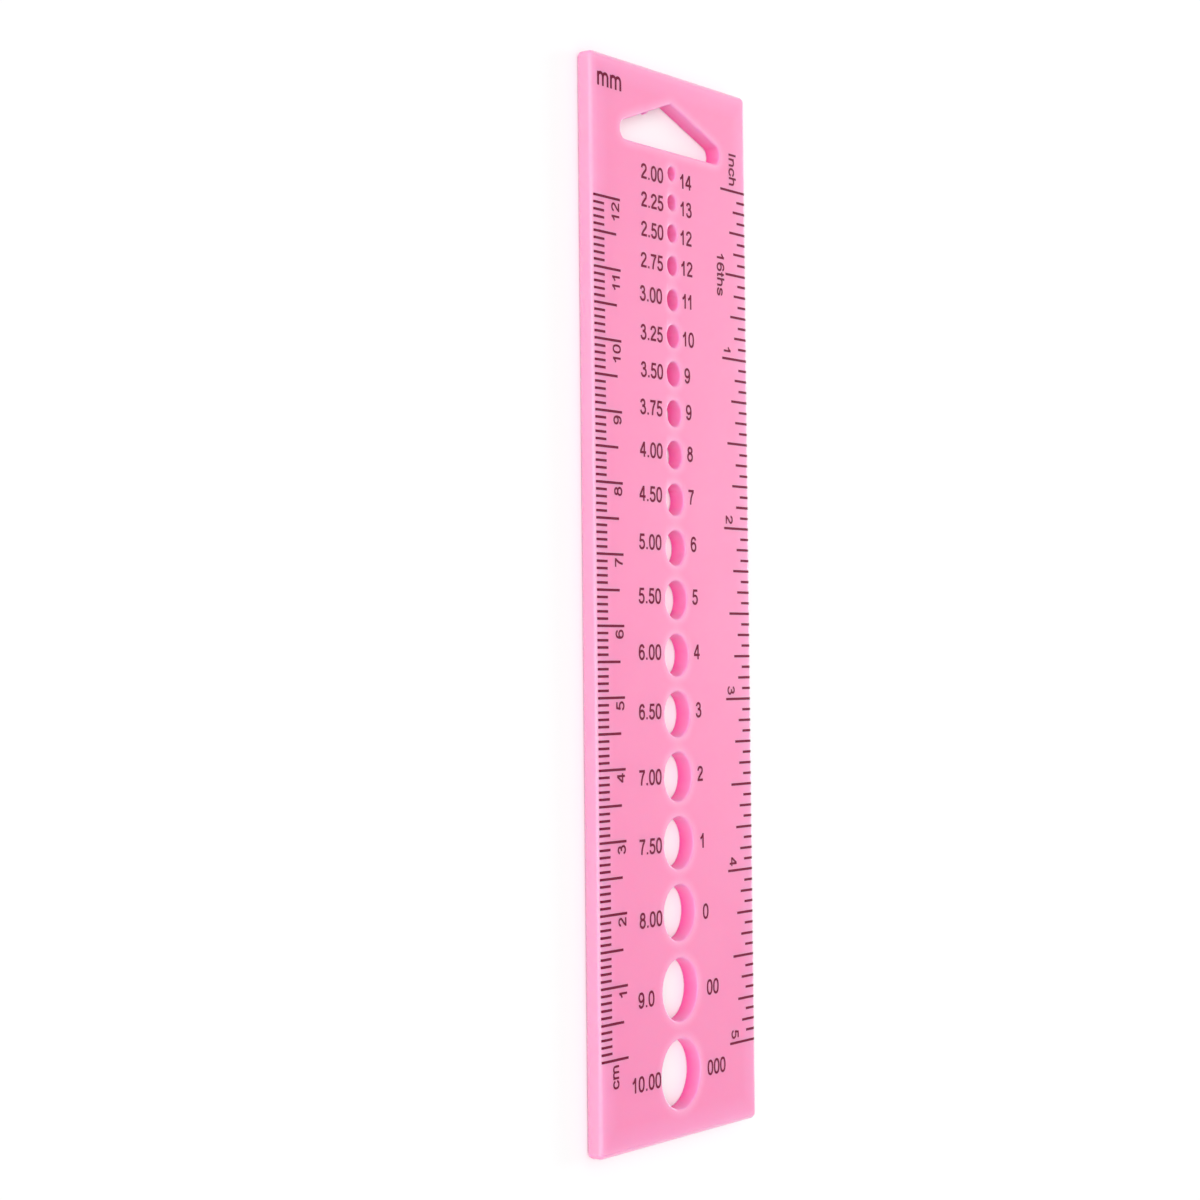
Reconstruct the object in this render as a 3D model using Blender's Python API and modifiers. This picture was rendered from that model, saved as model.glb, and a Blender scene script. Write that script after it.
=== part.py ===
"""Knitting needle gauge: one flat moulded plate with a row of round holes, one for each needle size, and a
hanging hole at its top end. It lies on its back with its face up: X is its width, Y its length from the
largest hole to the hanging hole, and Z its thickness. Metres, with the origin under the middle of the back.
"""

import math

import bmesh
import bpy

# Plate
PLATE_LENGTH = 0.1536
PLATE_WIDTH = 0.0402
PLATE_THICKNESS = 0.0026
CORNER_RADIUS = 0.0009
EDGE_RADIUS = 0.0007

# Needle holes: one for each needle size, largest first, in a row up the middle of the plate
NEEDLE_SIZES_MM = (
    10.0, 9.0, 8.0, 7.5, 7.0, 6.5, 6.0, 5.5, 5.0, 4.5, 4.0, 3.75, 3.5, 3.25, 3.0, 2.75, 2.5, 2.25, 2.0,
)
LARGEST_HOLE_MARGIN = 0.0042
HOLE_RIM_RADIUS = 0.0003

# Hanging hole: a flat triangle with rounded corners and its peak towards the top end
HANGER_WIDTH = 0.0260
HANGER_HEIGHT = 0.00695
HANGER_MARGIN = 0.0044
HANGER_CORNER_RADIUS = 0.0014
HANGER_PEAK_RADIUS = 0.0005
HANGER_GAP = 0.0022

# Gate mark: the stub left on the hanging hole's wall where the moulding was cut from its runner
GATE_WIDTH = 0.0009
GATE_THICKNESS = 0.0006
GATE_STANDOFF = 0.0004
GATE_DEPTH = 0.0009
GATE_FROM_CORNER = 0.0067

# Smoothness of the round shapes
CHORD_ERROR = 0.000014
EDGE_STEPS = 3
RIM_STEPS = 3
SHARP_ANGLE = math.radians(60)
FLAT_ANGLE = math.radians(1)
FLAT_FACE_WEIGHT = 100
CUTTER_OVERRUN = 0.001
WELD_DISTANCE = 0.000001

# Plastic
PLASTIC_COLOUR = (1.0, 0.34, 0.58, 1.0)
PLASTIC_ROUGHNESS = 0.35


def clear_scene():
    for thing in list(bpy.data.objects):
        bpy.data.objects.remove(thing, do_unlink=True)


def new_collection(name):
    collection = bpy.data.collections.new(name)
    bpy.context.scene.collection.children.link(collection)
    return collection


def round_segments(radius):
    """How many sides a full circle needs, in a multiple of four."""
    half_side_angle = math.acos(1 - CHORD_ERROR / radius)
    return 4 * math.ceil(math.pi / half_side_angle / 4)


def outline_around(discs):
    """The outline of a band drawn tight round the discs, anticlockwise. Each disc is (x, y, radius)."""
    normals = []
    for (x1, y1, radius1), (x2, y2, radius2) in zip(discs, discs[1:] + discs[:1]):
        heading = math.atan2(y2 - y1, x2 - x1)
        lean = math.acos((radius1 - radius2) / math.hypot(x2 - x1, y2 - y1))
        normals.append(heading - lean)
    points = []
    for (x, y, radius), first, last in zip(discs, normals[-1:] + normals[:-1], normals):
        turn = (last - first) % math.tau
        steps = math.ceil(turn / math.tau * round_segments(radius))
        for step in range(steps + 1):
            angle = first + turn * step / steps
            points.append((x + radius * math.cos(angle), y + radius * math.sin(angle)))
    return points


def mesh_object(name, mesh, collection):
    thing = bpy.data.objects.new(name, mesh)
    collection.objects.link(thing)
    return thing


def flat_solid(name, outline, thickness, collection):
    """A closed mesh of the outline, its thickness centred on the object's own z = 0."""
    curve = bpy.data.curves.new(name, "CURVE")
    curve.dimensions = "2D"
    curve.fill_mode = "BOTH"
    curve.extrude = thickness / 2
    spline = curve.splines.new("POLY")
    spline.points.add(len(outline) - 1)
    for point, (x, y) in zip(spline.points, outline):
        point.co = (x, y, 0, 1)
    spline.use_cyclic_u = True
    drawn = bpy.data.objects.new(name + "_outline", curve)
    collection.objects.link(drawn)
    graph = bpy.context.evaluated_depsgraph_get()
    mesh = bpy.data.meshes.new_from_object(drawn.evaluated_get(graph))
    bpy.data.objects.remove(drawn)

    shape = bmesh.new()
    shape.from_mesh(mesh)
    bmesh.ops.remove_doubles(shape, verts=shape.verts, dist=WELD_DISTANCE)
    bmesh.ops.dissolve_limit(shape, angle_limit=FLAT_ANGLE, verts=shape.verts, edges=shape.edges)
    bmesh.ops.recalc_face_normals(shape, faces=shape.faces)
    shape.to_mesh(mesh)
    shape.free()
    return mesh_object(name, mesh, collection)


def round_solid(name, radius, depth, collection):
    shape = bmesh.new()
    bmesh.ops.create_cone(
        shape, cap_ends=True, segments=round_segments(radius), radius1=radius, radius2=radius, depth=depth
    )
    mesh = bpy.data.meshes.new(name)
    shape.to_mesh(mesh)
    shape.free()
    return mesh_object(name, mesh, collection)


def as_cutter(thing):
    thing.hide_render = True
    thing.display_type = "WIRE"


def hanger_peak():
    return PLATE_LENGTH / 2 - HANGER_MARGIN


def hanger_base():
    return hanger_peak() - HANGER_HEIGHT


def hole_places():
    """(y, diameter) of each needle hole, largest first. From each hole to the next smaller one it is the larger
    hole's diameter and an equal share of the length that is left over."""
    diameters = [size / 1000 for size in NEEDLE_SIZES_MM]
    first = -PLATE_LENGTH / 2 + LARGEST_HOLE_MARGIN + diameters[0] / 2
    last = hanger_base() - HANGER_GAP - diameters[-1] / 2
    share = (last - first - sum(diameters[:-1])) / (len(diameters) - 1)
    places = []
    y = first
    for diameter in diameters:
        places.append((y, diameter))
        y += diameter + share
    return places


def hanger_discs():
    """The three discs that the hanging hole's outline is drawn round: two at its ends and one at its peak."""
    reach = HANGER_WIDTH / 2 - HANGER_CORNER_RADIUS
    low = hanger_base() + HANGER_CORNER_RADIUS
    return [
        (-reach, low, HANGER_CORNER_RADIUS),
        (reach, low, HANGER_CORNER_RADIUS),
        (0, hanger_peak() - HANGER_PEAK_RADIUS, HANGER_PEAK_RADIUS),
    ]


def add_cutters(collection):
    """The needle holes and the hanging hole, each as a solid that runs out past both faces."""
    depth = PLATE_THICKNESS + 2 * CUTTER_OVERRUN
    for y, diameter in hole_places():
        cutter = round_solid(f"needle_hole_{1000 * diameter:.2f}", diameter / 2, depth, collection)
        cutter.location = (0, y, PLATE_THICKNESS / 2)
        as_cutter(cutter)
    cutter = flat_solid("hanging_hole", outline_around(hanger_discs()), depth, collection)
    cutter.location = (0, 0, PLATE_THICKNESS / 2)
    as_cutter(cutter)


def add_gate_mark(collection):
    """A small stub on the hanging hole's left slope, sunk into the wall as deep as it stands out of it."""
    (x1, y1, corner), _, (x2, y2, peak) = hanger_discs()
    heading = math.atan2(y2 - y1, x2 - x1)
    slope = heading - math.asin((corner - peak) / math.hypot(x2 - x1, y2 - y1))
    wall_x = x1 - corner * math.sin(slope) + GATE_FROM_CORNER * math.cos(slope)
    wall_y = y1 + corner * math.cos(slope) + GATE_FROM_CORNER * math.sin(slope)
    stub = round_solid("gate_mark", GATE_THICKNESS / 2, GATE_WIDTH, collection)
    stub.scale = (1, 2 * GATE_STANDOFF / GATE_THICKNESS, 1)
    stub.rotation_euler = (math.pi / 2, 0, math.pi / 2 + slope)
    stub.location = (wall_x, wall_y, PLATE_THICKNESS - GATE_DEPTH)
    as_cutter(stub)
    return stub


def add_modifier(thing, kind, name, **settings):
    modifier = thing.modifiers.new(name, kind)
    for setting, value in settings.items():
        setattr(modifier, setting, value)


def add_rounding(thing, name, radius, steps):
    add_modifier(
        thing, "BEVEL", name, width=radius, segments=steps, limit_method="ANGLE", angle_limit=SHARP_ANGLE
    )


def add_plate(parts, cutters, stub):
    """The blank with its outer edges rounded, then the holes, then the rounding of the holes' rims."""
    side = PLATE_WIDTH / 2 - CORNER_RADIUS
    end = PLATE_LENGTH / 2 - CORNER_RADIUS
    corners = [(x, y, CORNER_RADIUS) for x, y in ((-side, -end), (side, -end), (side, end), (-side, end))]
    plate = flat_solid("gauge_plate", outline_around(corners), PLATE_THICKNESS, parts)
    plate.location = (0, 0, PLATE_THICKNESS / 2)
    add_rounding(plate, "outer_edges", EDGE_RADIUS, EDGE_STEPS)
    add_modifier(
        plate, "BOOLEAN", "holes", operation="DIFFERENCE", operand_type="COLLECTION", collection=cutters
    )
    add_rounding(plate, "hole_rims", HOLE_RIM_RADIUS, RIM_STEPS)
    add_modifier(plate, "BOOLEAN", "gate_mark", operation="UNION", object=stub)
    add_modifier(plate, "WEIGHTED_NORMAL", "shading", weight=FLAT_FACE_WEIGHT)
    plate.data.shade_smooth()
    return plate


def moulded_plastic():
    material = bpy.data.materials.new("moulded_pink_plastic")
    material.use_nodes = True
    surface = material.node_tree.nodes["Principled BSDF"]
    surface.inputs["Base Color"].default_value = PLASTIC_COLOUR
    surface.inputs["Roughness"].default_value = PLASTIC_ROUGHNESS
    surface.inputs["Metallic"].default_value = 0
    return material


clear_scene()
gauge = new_collection("knitting_needle_gauge")
hole_cutters = new_collection("hole_cutters")
stubs = new_collection("stubs")
add_cutters(hole_cutters)
gauge_plate = add_plate(gauge, hole_cutters, add_gate_mark(stubs))
gauge_plate.data.materials.append(moulded_plastic())
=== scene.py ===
"""Knitting needle gauge: a thin pink plate with graded round holes, ruler scales on both long edges and a
hanging hole. It lies on its back on a pale floor, printed face up. X is its width, Y its length, Z up; metres.
"""

import math

import bmesh
import bpy
from mathutils import Matrix, Vector
from mathutils.geometry import delaunay_2d_cdt, interpolate_bezier


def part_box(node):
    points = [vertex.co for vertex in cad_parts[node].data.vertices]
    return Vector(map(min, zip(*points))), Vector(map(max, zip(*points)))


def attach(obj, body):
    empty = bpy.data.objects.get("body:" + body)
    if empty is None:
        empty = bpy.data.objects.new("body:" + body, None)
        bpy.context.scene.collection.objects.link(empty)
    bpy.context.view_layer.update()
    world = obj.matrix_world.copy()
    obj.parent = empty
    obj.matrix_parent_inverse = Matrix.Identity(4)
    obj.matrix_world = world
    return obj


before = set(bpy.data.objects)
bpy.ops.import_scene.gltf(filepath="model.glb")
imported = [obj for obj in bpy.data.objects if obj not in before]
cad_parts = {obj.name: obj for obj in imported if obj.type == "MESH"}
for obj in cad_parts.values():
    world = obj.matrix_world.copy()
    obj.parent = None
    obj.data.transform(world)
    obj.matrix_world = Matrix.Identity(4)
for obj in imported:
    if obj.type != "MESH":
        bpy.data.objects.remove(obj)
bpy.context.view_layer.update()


# Gauge plate. The real one is a single moulding in tinted polypropylene, which lets some light through.
# It is injected from the stub on the hanging hole's slope, and its edges and hole rims are softly rounded.

MM = 0.001
EDGE_ROUNDING = 0.7 * MM
FACET_WELD = 0.001 * MM
FLAT_FACE_WEIGHT = 100
MIX_SHARE, MIX_FROM, MIX_TO, MIXED = 0, 6, 7, 2  # the Mix node's sockets for colours
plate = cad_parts["gauge_plate"]
plate_low, plate_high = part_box("gauge_plate")


def linear(hex_colour):
    """An sRGB colour such as "FF9EC9" as linear red, green, blue and a full alpha."""
    shares = [int(hex_colour[place:place + 2], 16) / 255 for place in (0, 2, 4)]
    return [
        share / 12.92 if share <= 0.04045 else ((share + 0.055) / 1.055) ** 2.4 for share in shares
    ] + [1]


def add_node(tree, kind, inputs, **settings):
    """A new node with its settings. Each input is a value, or the output that links to it."""
    node = tree.nodes.new(kind)
    for name, value in settings.items():
        setattr(node, name, value)
    for name, value in inputs.items():
        if isinstance(value, bpy.types.NodeSocket):
            tree.links.new(value, node.inputs[name])
        else:
            node.inputs[name].default_value = value
    return node


def moulded_polypropylene():
    """Waxy and slightly see-through: light spreads about a millimetre inside. The paler outer edges and hole
    rims and the deep pink of the hole walls are also painted into the colour, as painted glow, painted
    highlights and painted shade. The moulded skin is softly glossy."""
    scatter_distance = 1.0 * MM
    scatter_by_colour = (1.0, 0.45, 0.65)
    glow_reach = 1.6 * MM
    glow_samples = 8
    free_at_an_edge = 0.5
    edge_glow_reach = 4 * MM
    face_level, rim_level, wall_level = 1, 0.85, 0.15
    flow_width = 14 * MM
    haze_width = 5 * MM
    glossiest, dullest = 0.28, 0.40
    grain_width = 0.5 * MM
    grain_height = 0.002 * MM
    material = bpy.data.materials.new("moulded_polypropylene")
    material.use_nodes = True
    tree = material.node_tree
    surface = tree.nodes["Principled BSDF"]
    surface.inputs["Subsurface Weight"].default_value = 1
    surface.inputs["Subsurface Radius"].default_value = scatter_by_colour
    surface.inputs["Subsurface Scale"].default_value = scatter_distance
    surface.inputs["IOR"].default_value = 1.49

    # Where a point lies: how deep below the face, and how far in from the plate's nearest outer edge.
    coordinates = add_node(tree, "ShaderNodeTexCoord", {}).outputs
    place = coordinates["Object"]
    height = add_node(tree, "ShaderNodeSeparateXYZ", {"Vector": place}).outputs["Z"]
    depth = add_node(
        tree, "ShaderNodeMapRange", {"Value": height, "From Min": plate_high.z, "From Max": plate_low.z}
    ).outputs["Result"]
    from_middle = add_node(tree, "ShaderNodeVectorMath", {0: place}, operation="ABSOLUTE").outputs["Vector"]
    out = add_node(tree, "ShaderNodeSeparateXYZ", {"Vector": from_middle}).outputs
    to_side = add_node(
        tree, "ShaderNodeMath", {0: plate_high.x, 1: out["X"]}, operation="SUBTRACT"
    ).outputs["Value"]
    to_end = add_node(
        tree, "ShaderNodeMath", {0: plate_high.y, 1: out["Y"]}, operation="SUBTRACT"
    ).outputs["Value"]
    inset = add_node(tree, "ShaderNodeMath", {0: to_side, 1: to_end}, operation="MINIMUM").outputs["Value"]
    outer_edge = add_node(
        tree, "ShaderNodeMapRange", {"Value": inset, "From Min": EDGE_ROUNDING, "From Max": 0}
    ).outputs["Result"]
    edge_glow_band = add_node(
        tree, "ShaderNodeMapRange", {"Value": inset, "From Min": edge_glow_reach, "From Max": 0}
    ).outputs["Result"]

    # How free the way is inside the plastic, out to the glow's reach: 1 under the open face, and less beside
    # an outer edge or a hole, where light gets out through the wall. This mask paints that glow into the
    # colour.
    free = add_node(
        tree, "ShaderNodeAmbientOcclusion", {"Distance": glow_reach},
        inside=True, only_local=True, samples=glow_samples,
    ).outputs["AO"]
    near_an_edge = add_node(
        tree, "ShaderNodeMapRange", {"Value": free, "From Min": 1, "From Max": free_at_an_edge}
    ).outputs["Result"]

    # Which way the skin faces: 1 for a level face, 0 for an upright wall, and the roundings in between.
    facing = add_node(
        tree, "ShaderNodeVectorMath", {0: coordinates["Normal"]}, operation="ABSOLUTE"
    ).outputs["Vector"]
    level = add_node(tree, "ShaderNodeSeparateXYZ", {"Vector": facing}).outputs["Z"]
    on_rounding = add_node(
        tree, "ShaderNodeMapRange", {"Value": level, "From Min": face_level, "From Max": rim_level}
    ).outputs["Result"]
    on_wall = add_node(
        tree, "ShaderNodeMapRange", {"Value": level, "From Min": rim_level, "From Max": wall_level}
    ).outputs["Result"]

    # The pinks: the face with faint streaks where the plastic flowed, a painted glow towards its outer edges
    # and beside holes, painted highlights on the roundings, then the walls with painted shade.
    flow = add_node(
        tree, "ShaderNodeTexNoise", {"Vector": place, "Scale": 1 / flow_width, "Detail": 2}
    ).outputs["Fac"]
    face_pink = add_node(
        tree, "ShaderNodeMix",
        {MIX_SHARE: flow, MIX_FROM: linear("FF84B5"), MIX_TO: linear("FE89B8")}, data_type="RGBA",
    ).outputs[MIXED]
    # Painted glow: the face is painted paler and bluer within a few millimetres of the outer edges.
    edge_glow_pink = add_node(
        tree, "ShaderNodeMix",
        {MIX_SHARE: edge_glow_band, MIX_FROM: face_pink, MIX_TO: linear("FF96C6")}, data_type="RGBA",
    ).outputs[MIXED]
    # Painted glow: paler pink where the plastic lies near an outer edge or a hole.
    painted_glow_pink = add_node(
        tree, "ShaderNodeMix",
        {MIX_SHARE: near_an_edge, MIX_FROM: edge_glow_pink, MIX_TO: linear("FFA4CC")}, data_type="RGBA",
    ).outputs[MIXED]
    # Painted highlight: the roundings of the hole rims are painted paler, as a bright halo.
    rim_highlight_pink = add_node(
        tree, "ShaderNodeMix",
        {MIX_SHARE: on_rounding, MIX_FROM: painted_glow_pink, MIX_TO: linear("FFA2CC")}, data_type="RGBA",
    ).outputs[MIXED]
    # Painted shade: the hole walls are painted pale at the top and a deeper, darker pink towards their bottom.
    painted_shade_wall_pink = add_node(
        tree, "ShaderNodeMix",
        {MIX_SHARE: depth, MIX_FROM: linear("FFA0D2"), MIX_TO: linear("FF4AA2")}, data_type="RGBA",
    ).outputs[MIXED]
    hole_pink = add_node(
        tree, "ShaderNodeMix",
        {MIX_SHARE: on_wall, MIX_FROM: rim_highlight_pink, MIX_TO: painted_shade_wall_pink}, data_type="RGBA",
    ).outputs[MIXED]
    # Painted highlight on the outer roundings, and painted light that makes the outer sides paler than the
    # face.
    edge_highlight_pink = add_node(
        tree, "ShaderNodeMix",
        {MIX_SHARE: on_wall, MIX_FROM: linear("FFB8D2"), MIX_TO: linear("FFA9CC")}, data_type="RGBA",
    ).outputs[MIXED]
    pink = add_node(
        tree, "ShaderNodeMix",
        {MIX_SHARE: outer_edge, MIX_FROM: hole_pink, MIX_TO: edge_highlight_pink}, data_type="RGBA",
    ).outputs[MIXED]
    tree.links.new(pink, surface.inputs["Base Color"])

    # The skin: patches of softer gloss, and the fine unevenness that it takes from the mould.
    haze = add_node(
        tree, "ShaderNodeTexNoise", {"Vector": place, "Scale": 1 / haze_width, "Detail": 4}
    ).outputs["Fac"]
    gloss = add_node(
        tree, "ShaderNodeMapRange", {"Value": haze, "To Min": glossiest, "To Max": dullest}
    ).outputs["Result"]
    tree.links.new(gloss, surface.inputs["Roughness"])
    grain = add_node(
        tree, "ShaderNodeTexNoise", {"Vector": place, "Scale": 1 / grain_width, "Detail": 3}
    ).outputs["Fac"]
    skin = add_node(
        tree, "ShaderNodeBump", {"Height": grain, "Strength": 1, "Distance": grain_height}
    ).outputs["Normal"]
    tree.links.new(skin, surface.inputs["Normal"])
    return material


plate.data.materials.clear()
plate.data.materials.append(moulded_polypropylene())
joined = plate.modifiers.new("joined_facets", "WELD")
joined.merge_threshold = FACET_WELD
smooth = plate.modifiers.new("smooth_shading", "WEIGHTED_NORMAL")
smooth.weight = FLAT_FACE_WEIGHT


# Centimetre scale. Burgundy ink, pad printed along the left long edge and over its rounding: 120 mm in ticks,
# with figures that read up the plate. The ink is a film on the skin and hides most of the pink below it.

INK_THICKNESS = 0.015 * MM
ABOVE_PLATE = plate_high.z + 1 * MM
TICK_WIDTH = 0.35 * MM
TICK_STEP = 0.05 * MM
PRINT_EDGE = plate_high.x - 0.37 * MM
SCALE_LETTER_HEIGHT = 1.87 * MM
CENTIMETRE_ZERO = plate_low.y + 13.28 * MM
MILLIMETRE_TICK_END = -17.25 * MM
HALF_TICK_END = -14.36 * MM
CENTIMETRE_TICK_END = -13.35 * MM
CENTIMETRES = 12
CENTIMETRE_FIGURE_BASELINE = -13.57 * MM
CENTIMETRE_FIGURE_GAP = 0.42 * MM
CENTIMETRE_WORD_PLACE = (-15.7 * MM, -67.6 * MM)
UP_THE_PLATE = 90

# Plain upright letters in strokes of one width, in hundredths of a figure's height. A stroke starts at a
# point, and each next piece is a straight run to a point, or a curve by its two handles and its end.
STROKE_WIDTH = 16
STROKES = {
    "0": [[(65, 50), (65, 80, 55, 94.3, 38.7, 94.3), (22, 94.3, 12.4, 80, 12.4, 49.4),
           (12.4, 19, 22, 4.5, 38.7, 4.5), (55, 4.5, 65, 19, 65, 50)]],
    "1": [[(46, 0), (46, 100)],
          [(15, 64.5), (29, 70, 38, 79, 44.5, 93)]],
    "2": [[(13, 71), (13.5, 86, 23, 94.3, 38.5, 94.3), (53.5, 94.3, 63.5, 85.5, 63.5, 73),
           (63.5, 51, 22, 38, 15, 6)],
          [(6.5, 8), (70.5, 8)]],
    "3": [[(14, 75), (16, 87, 25, 94.4, 37, 94.4), (49, 94.4, 57.5, 86.5, 57.5, 75),
           (57.5, 62, 48, 54.5, 29, 54.5)],
          [(36, 54.5), (54, 54.5, 65, 45.5, 65, 30), (65, 14.5, 53, 4.5, 37.5, 4.5),
           (24, 4.5, 14, 12, 12, 26.5)]],
    "4": [[(2, 29.6), (71.5, 29.6)],
          [(7, 33), (48.5, 96.5)],
          [(51.4, 0), (51.4, 100)]],
    "5": [[(67.5, 94), (23.5, 94), (16.5, 49.5)],
          [(13.5, 51), (22, 57, 29, 59, 38, 59), (54.5, 59, 65, 48, 65, 32.5),
           (65, 15.5, 53.5, 4.5, 37, 4.5), (23.5, 4.5, 14, 12, 12, 25.5)]],
    "6": [[(63, 76), (60, 88, 52, 94.4, 41, 94.4), (22, 94.4, 12.3, 77, 12.3, 46),
           (12.3, 19, 22, 4.5, 40, 4.5), (55, 4.5, 65, 15, 65, 31), (65, 47, 55, 58, 40.5, 58),
           (27, 58, 15.5, 49, 13, 36)]],
    "7": [[(6.8, 92.8), (71.8, 92.8)],
          [(66.5, 90), (49, 71, 33, 40, 31.4, 0)]],
    "8": [[(61, 75), (61, 86, 51, 94.4, 38.5, 94.4), (26, 94.4, 16, 86, 16, 75),
           (16, 64, 26, 55.5, 38.5, 55.5), (51, 55.5, 61, 64, 61, 75)],
          [(65.2, 30), (65.2, 45, 53.5, 55.5, 38.5, 55.5), (23.5, 55.5, 11.8, 45, 11.8, 30),
           (11.8, 15, 23.5, 4.5, 38.5, 4.5), (53.5, 4.5, 65.2, 15, 65.2, 30)]],
    "9": [[(14.4, 23), (17.4, 11, 25.4, 4.6, 36.4, 4.6), (55.4, 4.6, 65.1, 22, 65.1, 53),
           (65.1, 80, 55.4, 94.5, 37.4, 94.5), (22.4, 94.5, 12.4, 84, 12.4, 68),
           (12.4, 52, 22.4, 41, 36.9, 41), (50.4, 41, 61.9, 50, 64.4, 63)]],
    ".": [[(19.4, 0), (19.4, 14)]],
    "c": [[(62.5, 49), (59, 61, 50, 67.6, 38, 67.6), (21, 67.6, 11.8, 56, 11.8, 36.2),
           (11.8, 16, 21, 4.6, 38, 4.6), (51, 4.6, 60.5, 12, 63, 26)]],
    "h": [[(15.3, 0), (15.3, 100)],
          [(15.3, 40), (15.3, 59, 26, 67.8, 39, 67.8), (55, 67.8, 62.2, 59, 62.2, 44), (62.2, 0)]],
    "I": [[(19.5, 0), (19.5, 100)]],
    "m": [[(15.3, 0), (15.3, 72.4)],
          [(15.3, 40), (15.3, 60, 24, 67.8, 36, 67.8), (50, 67.8, 58.3, 60, 58.3, 45), (58.3, 0)],
          [(58.3, 40), (58.3, 60, 67, 67.8, 79.5, 67.8), (93, 67.8, 101, 60, 101, 45), (101, 0)]],
    "n": [[(15.3, 0), (15.3, 72.4)],
          [(15.3, 40), (15.3, 59, 26, 67.8, 39, 67.8), (55, 67.8, 62.2, 59, 62.2, 44), (62.2, 0)]],
    "s": [[(58, 51.5), (56, 62, 48, 67.8, 35.5, 67.8), (22.5, 67.8, 14, 62, 14, 53),
           (14, 43, 22, 40, 36, 36.5), (50, 33, 59.5, 30, 59.5, 20),
           (59.5, 10, 49, 4.6, 35.5, 4.6), (21, 4.6, 12.5, 10.5, 10.5, 23)]],
    "t": [[(18.8, 96), (18.8, 8)],
          [(10.8, 8), (36, 8)],
          [(1.6, 67), (35.6, 67)]],
}
ADVANCES = {".": 38.8, "c": 69.8, "I": 38.8, "m": 116.4, "s": 69.8, "t": 38.8}
FIGURE_ADVANCE = 77.7
DOUBLE_ONE_KERNING = 10.4
CURVE_STEPS = 8
SAME_CORNER = 0.01
ALL_TRIANGLES = 0
letter_faces = {}


def centreline(stroke):
    """The stroke's points in order, with each curve broken into short straight runs."""
    points = [Vector(stroke[0])]
    for piece in stroke[1:]:
        if len(piece) == 2:
            points.append(Vector(piece))
        else:
            handles = [Vector(piece[place:place + 2]) for place in (0, 2, 4)]
            points.extend(interpolate_bezier(points[-1], *handles, CURVE_STEPS + 1)[1:])
    return points


def ribbon(points):
    """Four-cornered pieces that cover a stroke, with mitred bends and square ends. A ring has no ends."""
    ring = points[0] == points[-1]
    runs = [(after - before).normalized() for before, after in zip(points, points[1:])]
    before = [runs[-1] if ring else runs[0]] + runs
    after = runs + [runs[0] if ring else runs[-1]]
    sides = []
    for point, run_in, run_out in zip(points, before, after):
        across = (run_in + run_out).normalized().orthogonal()
        reach = STROKE_WIDTH / 2 / across.dot(run_out.orthogonal())
        sides.append((point + reach * across, point - reach * across))
    return [(a, b, d, c) for (a, b), (c, d) in zip(sides, sides[1:])]


def faces_of(letter):
    """The letter's strokes as one flat set of triangles that don't overlap."""
    if letter not in letter_faces:
        pieces = [piece for stroke in STROKES[letter] for piece in ribbon(centreline(stroke))]
        corners = [corner for piece in pieces for corner in piece]
        numbers = [range(first, first + 4) for first in range(0, len(corners), 4)]
        points, _, faces, _, _, covered = delaunay_2d_cdt(corners, [], numbers, ALL_TRIANGLES, SAME_CORNER)
        letter_faces[letter] = points, [face for face, by in zip(faces, covered) if by]
    return letter_faces[letter]


def advance(letter, following):
    """How far the next letter starts after this one, in the same hundredths. Two ones stand closer together."""
    kerning = DOUBLE_ONE_KERNING if letter == following == "1" else 0
    return ADVANCES.get(letter, FIGURE_ADVANCE) - kerning


def text_width(text, height):
    """The length of a whole line of letters."""
    return sum(advance(*pair) for pair in zip(text, text[1:] + " ")) * height / 100


def print_text(ink, text, height, start, turn=0):
    """Adds a line of letters from start, the left end of its baseline, turned by that many degrees."""
    along = Matrix.Rotation(math.radians(turn), 2)
    pen = 0
    for letter, following in zip(text, text[1:] + " "):
        points, faces = faces_of(letter)
        dots = []
        for point in points:
            x, y = Vector(start) + along @ Vector((pen + point.x, point.y)) * height / 100
            dots.append(ink.verts.new((x, y, ABOVE_PLATE)))
        for face in faces:
            ink.faces.new([dots[number] for number in face])
        pen += advance(letter, following)


def print_tick(ink, edge, end, y):
    """Adds a tick from the print's outer edge to its inner end, in short steps so that it can bend."""
    steps = math.ceil(abs(end - edge) / TICK_STEP)
    sides = (y - TICK_WIDTH / 2, y + TICK_WIDTH / 2)
    rows = []
    for step in range(steps + 1):
        x = edge + (end - edge) * step / steps
        rows.append([ink.verts.new((x, side, ABOVE_PLATE)) for side in sides])
    for (a, b), (c, d) in zip(rows, rows[1:]):
        ink.faces.new((a, c, d, b))


def pad_printed_ink():
    """Thin satin ink: dark burgundy, a little uneven, with the pink below showing where the film is thin."""
    patch_width = 0.8 * MM
    material = bpy.data.materials.new("pad_printed_ink")
    material.use_nodes = True
    tree = material.node_tree
    surface = tree.nodes["Principled BSDF"]
    surface.inputs["IOR"].default_value = 1.5
    surface.inputs["Specular IOR Level"].default_value = 0.05
    surface.inputs["Roughness"].default_value = 0.5
    place = add_node(tree, "ShaderNodeTexCoord", {}).outputs["Object"]
    patches = add_node(
        tree, "ShaderNodeTexNoise", {"Vector": place, "Scale": 1 / patch_width, "Detail": 3}
    ).outputs["Fac"]
    shade = add_node(
        tree, "ShaderNodeMix",
        {MIX_SHARE: patches, MIX_FROM: linear("6E0C32"), MIX_TO: linear("801A3C")},
        data_type="RGBA",
    ).outputs[MIXED]
    tree.links.new(shade, surface.inputs["Base Color"])
    return material


ink_material = pad_printed_ink()


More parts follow.
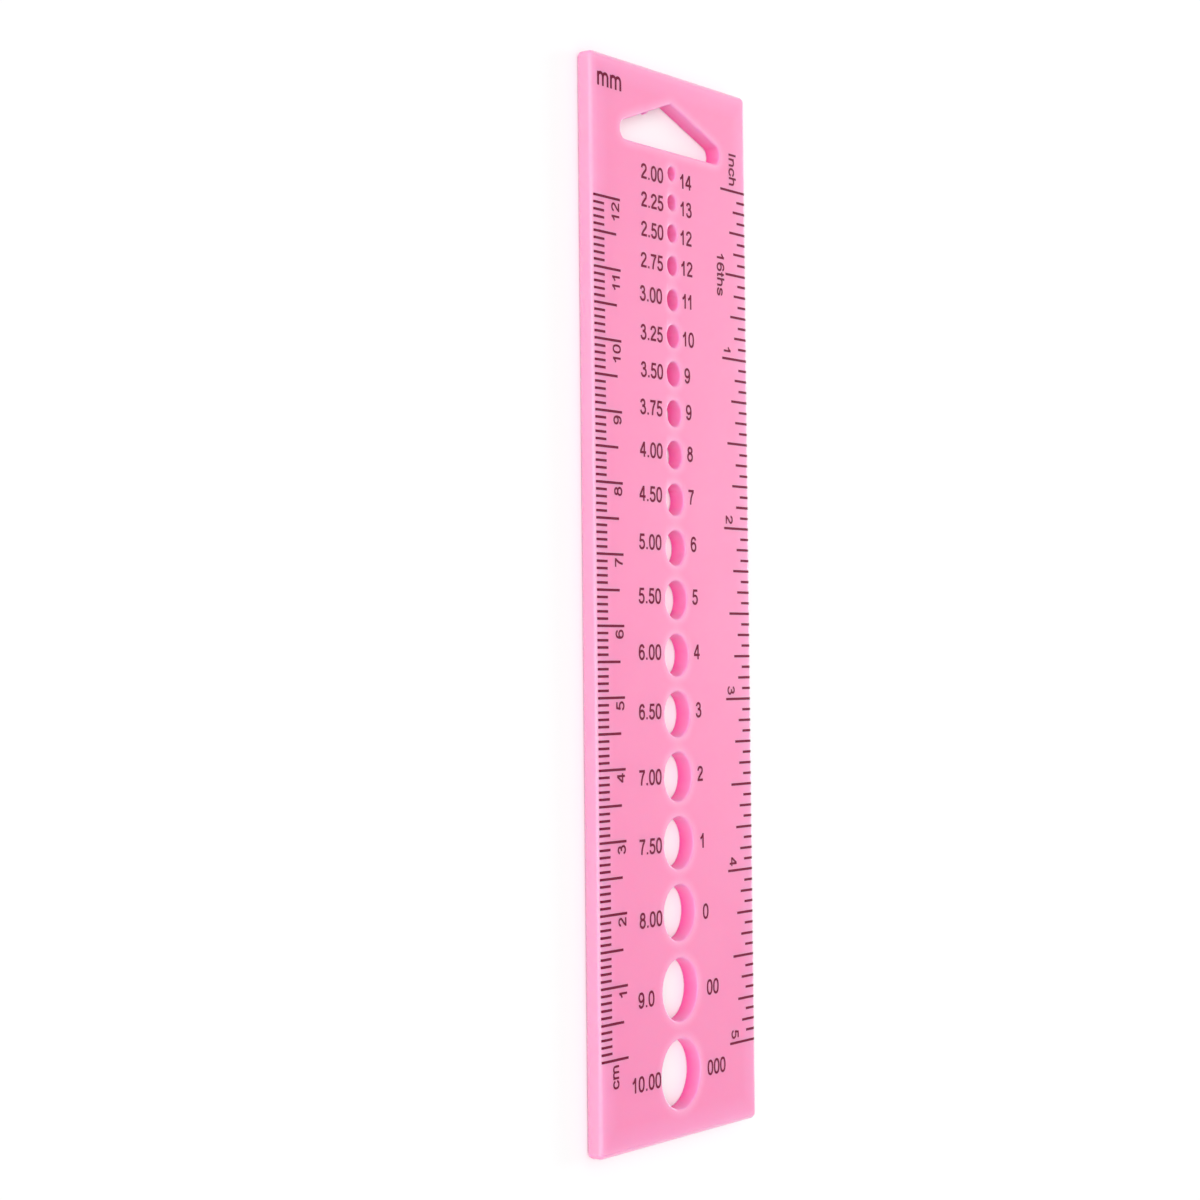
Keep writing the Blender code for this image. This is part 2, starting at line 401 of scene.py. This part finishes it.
def lay_print(name, ink):
    """Lays the flat print on the plate's skin, gives it its film thickness and fixes it to the plate."""
    mesh = bpy.data.meshes.new(name)
    bmesh.ops.recalc_face_normals(ink, faces=ink.faces)
    for face in ink.faces:
        if face.normal.z < 0:
            face.normal_flip()
    ink.to_mesh(mesh)
    ink.free()
    mesh.materials.append(ink_material)
    piece = bpy.data.objects.new(name, mesh)
    bpy.context.scene.collection.objects.link(piece)
    laid = piece.modifiers.new("laid_on_the_skin", "SHRINKWRAP")
    laid.wrap_method = "PROJECT"
    laid.use_project_z = True
    laid.use_negative_direction = True
    laid.use_positive_direction = False
    laid.target = plate
    film = piece.modifiers.new("film", "SOLIDIFY")
    film.thickness = INK_THICKNESS
    film.offset = 1
    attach(piece, "root")


centimetre_ink = bmesh.new()
for millimetre in range(10 * CENTIMETRES + 1):
    tick_end = MILLIMETRE_TICK_END
    if millimetre % 5 == 0:
        tick_end = HALF_TICK_END
    if millimetre % 10 == 0:
        tick_end = CENTIMETRE_TICK_END
    print_tick(centimetre_ink, -PRINT_EDGE, tick_end, CENTIMETRE_ZERO + millimetre * MM)
for centimetre in range(1, CENTIMETRES + 1):
    figure = str(centimetre)
    figure_end = CENTIMETRE_ZERO + 10 * centimetre * MM - CENTIMETRE_FIGURE_GAP
    start = (CENTIMETRE_FIGURE_BASELINE, figure_end - text_width(figure, SCALE_LETTER_HEIGHT))
    print_text(centimetre_ink, figure, SCALE_LETTER_HEIGHT, start, UP_THE_PLATE)
print_text(centimetre_ink, "cm", SCALE_LETTER_HEIGHT, CENTIMETRE_WORD_PLACE, UP_THE_PLATE)
lay_print("centimetre_scale", centimetre_ink)


# Inch scale. The same ink, pad printed along the right long edge and over its rounding: 5 inches in sixteenths,
# with figures and words that read down the plate. Each tick's length shows which part of the inch it marks.

INCH = 25.4 * MM
INCH_ZERO = plate_high.y - 14.79 * MM
INCHES = 5
INCH_FIGURE_BASELINE = 13.42 * MM
INCH_FIGURE_GAP = 0.55 * MM
WORD_HEIGHT = 1.95 * MM
INCH_WORD_PLACE = (15.38 * MM, 67.85 * MM)
SIXTEENTHS_WORD_PLACE = (11.8 * MM, 52.45 * MM)
DOWN_THE_PLATE = -90

# Where a tick ends, by how many sixteenths it stands for: a whole inch, a half, a quarter and so on
TICK_ENDS = {16: 12.95 * MM, 8: 14.13 * MM, 4: 15.32 * MM, 2: 16.35 * MM, 1: 17.40 * MM}

inch_ink = bmesh.new()
for sixteenth in range(16 * INCHES + 1):
    part = max(sixteenths for sixteenths in TICK_ENDS if sixteenth % sixteenths == 0)
    print_tick(inch_ink, PRINT_EDGE, TICK_ENDS[part], INCH_ZERO - sixteenth * INCH / 16)
for inch in range(1, INCHES + 1):
    figure = str(inch)
    figure_end = INCH_ZERO - inch * INCH + INCH_FIGURE_GAP
    start = (INCH_FIGURE_BASELINE, figure_end + text_width(figure, SCALE_LETTER_HEIGHT))
    print_text(inch_ink, figure, SCALE_LETTER_HEIGHT, start, DOWN_THE_PLATE)
print_text(inch_ink, "Inch", WORD_HEIGHT, INCH_WORD_PLACE, DOWN_THE_PLATE)
print_text(inch_ink, "16ths", WORD_HEIGHT, SIXTEENTHS_WORD_PLACE, DOWN_THE_PLATE)
lay_print("inch_scale", inch_ink)


# Needle sizes. The same ink beside each hole: its diameter in millimetres on the left, and its number in
# the old size system on the right. The words and figures were set by eye, so their places vary a little.

LABEL_HEIGHT = 2.15 * MM
UNIT_HEIGHT = 2.68 * MM
UNIT_PLACE = (-18.8 * MM, 72.0 * MM)

# The plastic from the plate's end to the largest hole, and how much longer the step from one hole's centre to
# the next is than the larger hole's diameter
LARGEST_HOLE_MARGIN = 4.2 * MM
HOLE_SPACING = 1.9917 * MM

# For each hole its diameter, its old number, the gaps in mm from its rim to the left and to the right label,
# and how many mm their baseline lies below its centre
SIZE_ROWS = (
    ("10.00", "000", 0.2, 1.7, 1.15),
    ("9.0", "00", 2.2, 2.25, 1.5),
    ("8.00", "0", 0.5, 1.9, 1.4),
    ("7.50", "1", 0.65, 1.5, 1.1),
    ("7.00", "2", 0.8, 1.35, 0.85),
    ("6.50", "3", 0.9, 1.35, 0.55),
    ("6.00", "4", 1.05, 1.35, 0.6),
    ("5.50", "5", 1.2, 1.25, 0.6),
    ("5.00", "6", 1.2, 1.25, 0.4),
    ("4.50", "7", 1.15, 1.0, 0.55),
    ("4.00", "8", 1.15, 1.1, 0.75),
    ("3.75", "9", 1.2, 1.0, 0.65),
    ("3.50", "9", 1.05, 0.85, 1.05),
    ("3.25", "10", 1.15, 0.45, 1.2),
    ("3.00", "11", 1.35, 0.6, 0.9),
    ("2.75", "12", 1.15, 0.5, 1.1),
    ("2.50", "12", 1.1, 0.5, 1.35),
    ("2.25", "13", 1.15, 0.7, 1.6),
    ("2.00", "14", 1.25, 0.8, 1.8),
)

size_ink = bmesh.new()
number_ink = bmesh.new()
hole_y = plate_low.y + LARGEST_HOLE_MARGIN + float(SIZE_ROWS[0][0]) * MM / 2
for size, number, label_gap, number_gap, drop in SIZE_ROWS:
    diameter = float(size) * MM
    baseline = hole_y - drop * MM
    label_x = -diameter / 2 - label_gap * MM - text_width(size, LABEL_HEIGHT)
    print_text(size_ink, size, LABEL_HEIGHT, (label_x, baseline))
    print_text(number_ink, number, LABEL_HEIGHT, (diameter / 2 + number_gap * MM, baseline))
    hole_y += diameter + HOLE_SPACING
print_text(size_ink, "mm", UNIT_HEIGHT, UNIT_PLACE)
lay_print("needle_sizes", size_ink)
lay_print("old_size_numbers", number_ink)


# Floor, light and camera. The plate lies on white paper under a sky of even white. Two wide soft lamps give
# its roundings and walls a bright and a dim side. The camera is turned so that the plate looks upright.

FLOOR_GAP = 0.03 * MM
FLOOR_SIZE = 3.0
SKY_LEVEL = 0.67
FLOOR_LIFT = 0.10


def shown_ray(tree):
    """1 for rays from the camera, and for reflected and refracted ones, so that these see the same white."""
    path = add_node(tree, "ShaderNodeLightPath", {}).outputs
    either = add_node(
        tree, "ShaderNodeMath", {0: path["Is Camera Ray"], 1: path["Is Glossy Ray"]}, operation="MAXIMUM"
    ).outputs["Value"]
    return add_node(
        tree, "ShaderNodeMath", {0: either, 1: path["Is Transmission Ray"]}, operation="MAXIMUM"
    ).outputs["Value"]


def white_paper():
    """Uncoated paper: matt and even, with no highlight, and lifted a little so that it shows as plain white."""
    material = bpy.data.materials.new("white_paper")
    material.use_nodes = True
    tree = material.node_tree
    surface = tree.nodes["Principled BSDF"]
    surface.inputs["Base Color"].default_value = linear("F3F3F3")
    surface.inputs["Roughness"].default_value = 0.9
    surface.inputs["Specular IOR Level"].default_value = 0
    surface.inputs["Emission Color"].default_value = linear("FFFFFF")
    lift = add_node(
        tree, "ShaderNodeMath", {0: shown_ray(tree), 1: FLOOR_LIFT}, operation="MULTIPLY"
    ).outputs["Value"]
    tree.links.new(lift, surface.inputs["Emission Strength"])
    return material


floor_mesh = bpy.data.meshes.new("floor")
half = FLOOR_SIZE / 2
floor_mesh.from_pydata(
    [(-half, -half, 0), (half, -half, 0), (half, half, 0), (-half, half, 0)], [], [(0, 1, 2, 3)]
)
floor_mesh.materials.append(white_paper())
floor = bpy.data.objects.new("floor", floor_mesh)
floor.location.z = plate_low.z - FLOOR_GAP
bpy.context.scene.collection.objects.link(floor)

sky = bpy.data.worlds.new("even_white_sky")
sky.use_nodes = True
bpy.context.scene.world = sky
sky_tree = sky.node_tree
sky_level = add_node(
    sky_tree, "ShaderNodeMapRange", {"Value": shown_ray(sky_tree), "To Min": SKY_LEVEL, "To Max": 1}
).outputs["Result"]
sky_tree.nodes["Background"].inputs["Color"].default_value = linear("FFFFFF")
sky_tree.links.new(sky_level, sky_tree.nodes["Background"].inputs["Strength"])


def add_lamp(name, strength, width, direction, elevation):
    """A wide soft lamp far away. Its light comes from a direction, where 0 is +X and 90 is +Y, and from an
    elevation above the floor. Both are in degrees, and so is its width."""
    light = bpy.data.lights.new(name, "SUN")
    light.energy = strength
    light.angle = math.radians(width)
    lamp = bpy.data.objects.new(name, light)
    bpy.context.scene.collection.objects.link(lamp)
    height, turn = math.radians(elevation), math.radians(direction)
    source = Vector((math.cos(height) * math.cos(turn), math.cos(height) * math.sin(turn), math.sin(height)))
    lamp.rotation_euler = source.to_track_quat("Z", "Y").to_euler()


add_lamp("key_lamp", strength=1.5, width=40, direction=179, elevation=40)
add_lamp("rim_lamp", strength=0.9, width=25, direction=5, elevation=12)

camera_data = bpy.data.cameras.new("camera")
camera_data.sensor_width = 36
camera_data.lens = 77.24
camera_data.shift_x = -0.0028
camera_data.shift_y = -0.0285
camera = bpy.data.objects.new("camera", camera_data)
camera.location = (-0.30955, -0.00868, 0.20825)
camera.rotation_euler = [math.radians(angle) for angle in (2.963, -54.752, -0.977)]
bpy.context.scene.collection.objects.link(camera)
bpy.context.scene.camera = camera
bpy.context.scene.view_settings.view_transform = "Standard"
